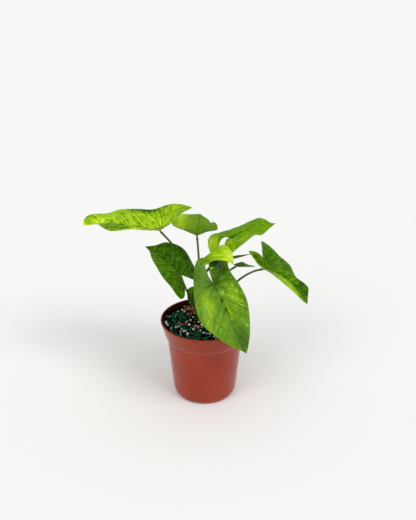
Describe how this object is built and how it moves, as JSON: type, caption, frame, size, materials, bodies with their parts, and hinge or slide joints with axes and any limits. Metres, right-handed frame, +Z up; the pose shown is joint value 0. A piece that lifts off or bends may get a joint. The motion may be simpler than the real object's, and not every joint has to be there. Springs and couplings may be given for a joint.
{
  "type": "arrowhead plant",
  "caption": "Small potted arrowhead plant with arrow-shaped green and lime leaves on slim stalks, in a round tapered plastic nursery pot.",
  "frame": {"origin": "centre of the pot's flat underside", "axes": "+Z up; +X to the right and +Y to the back, seen with the large front leaf towards the viewer"},
  "size_m": [0.2649, 0.165, 0.2388],
  "materials": {
    "pot": "moulded terracotta-coloured plastic, satin gloss",
    "potting_mix": "damp peat and bark mix, matt, with white perlite and green fertiliser grains",
    "leaf_light": "waxy leaf, lime green with yellow-green markings",
    "leaf_mid": "waxy leaf, mid green with paler veins",
    "leaf_dark": "waxy leaf, deep green",
    "leaf_young": "waxy young leaf, bright lime",
    "stalk": "smooth olive-green leaf stalk"
  },
  "bodies": {
    "root": {"pot": "pot", "potting_mix": "potting_mix", "leaf_upper_left": "leaf_light", "stalk_upper_left": "stalk", "leaf_upper_middle": "leaf_mid", "stalk_upper_middle": "stalk", "leaf_dark_left": "leaf_dark", "stalk_dark_left": "stalk", "leaf_front": "leaf_mid", "stalk_front": "stalk", "leaf_upper_right": "leaf_light", "stalk_upper_right": "stalk", "leaf_young": "leaf_young", "stalk_young": "stalk", "leaf_right": "leaf_mid", "stalk_right": "stalk", "leaf_small_right": "leaf_dark", "stalk_small_right": "stalk", "leaf_small_crown": "leaf_dark", "stalk_small_crown": "stalk", "rolled_leaf": "stalk"}
  },
  "joints": []
}
